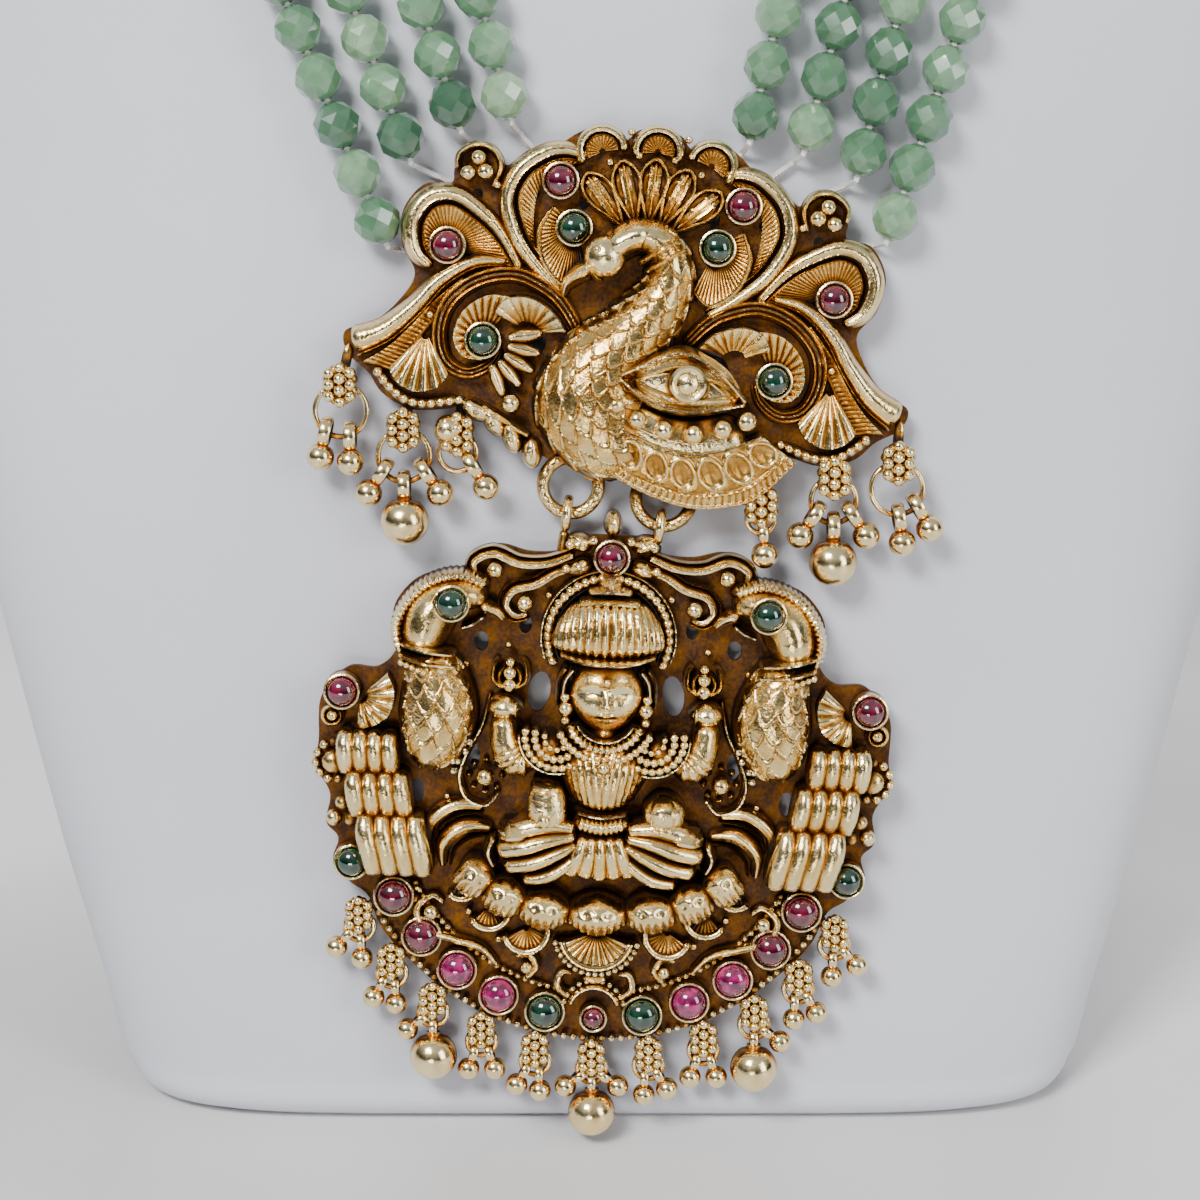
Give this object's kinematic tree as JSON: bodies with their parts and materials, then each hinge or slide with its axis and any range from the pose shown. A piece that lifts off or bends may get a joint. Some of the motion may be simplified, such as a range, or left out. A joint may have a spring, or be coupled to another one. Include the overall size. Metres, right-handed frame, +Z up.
{
  "type": "temple jewellery necklace on display bust",
  "caption": "Antique-gold peacock and seated-figure pendants with stones and ball drops, on strings of faceted green beads over a plain leaning bust",
  "frame": {"origin": "centre of the bust's foot, on the table", "axes": "+Z up, the chest and the pendants face -Y, +X is the viewer's right"},
  "size_m": [0.203, 0.1468, 0.24],
  "materials": {
    "gold": "antique polished, dark in the recesses",
    "bust_cover": "smooth matt leatherette",
    "red_stone": "polished cabochon",
    "pink_stone": "polished cabochon",
    "green_stone": "polished cabochon",
    "bead": "faceted, slightly cloudy stone",
    "thread": "twisted"
  },
  "bodies": {
    "bust_and_upper_pendant": {"display_bust": "bust_cover", "peacock_pendant": "gold", "peacock_upper_ruby_left": "red_stone", "peacock_outer_ruby_left": "red_stone", "peacock_upper_emerald_left": "green_stone", "peacock_scroll_emerald_left": "green_stone", "peacock_upper_ruby_right": "red_stone", "peacock_outer_ruby_right": "red_stone", "peacock_upper_emerald_right": "green_stone", "peacock_scroll_emerald_right": "green_stone", "upper_drop_1": "gold", "upper_drop_2": "gold", "upper_drop_3": "gold", "upper_drop_4": "gold", "upper_drop_5": "gold", "upper_drop_6": "gold", "bead_string_left_1": "bead", "bead_string_left_2": "bead", "bead_string_left_3": "bead", "bead_string_left_4": "bead", "bead_string_right_1": "bead", "bead_string_right_2": "bead", "bead_string_right_3": "bead", "bead_string_right_4": "bead", "threads_left": "thread", "threads_right": "thread", "end_caps": "gold", "nape_cord": "thread"},
    "lower_pendant": {"figure_pendant": "gold", "crown_ruby": "red_stone", "eye_emerald_left": "green_stone", "side_ruby_left": "red_stone", "side_emerald_left": "green_stone", "eye_emerald_right": "green_stone", "side_ruby_right": "red_stone", "side_emerald_right": "green_stone", "arc_stone_1": "red_stone", "arc_stone_2": "red_stone", "arc_stone_3": "pink_stone", "arc_stone_4": "pink_stone", "arc_stone_5": "green_stone", "arc_stone_6": "red_stone", "arc_stone_7": "green_stone", "arc_stone_8": "pink_stone", "arc_stone_9": "pink_stone", "arc_stone_10": "red_stone", "arc_stone_11": "red_stone", "lower_drop_1": "gold", "lower_drop_2": "gold", "lower_drop_3": "gold", "lower_drop_4": "gold", "lower_drop_5": "gold", "lower_drop_6": "gold", "lower_drop_7": "gold", "lower_drop_8": "gold", "lower_drop_9": "gold", "lower_drop_10": "gold", "lower_drop_11": "gold"}
  },
  "joints": [
    {"name": "pendant_swing", "type": "hinge", "parent": "bust_and_upper_pendant", "child": "lower_pendant", "pos_m": [0.00165, -0.03266, 0.07709], "axis": [-0.9903, 0.036, 0.1344], "range_deg": [0, 90]}
  ]
}
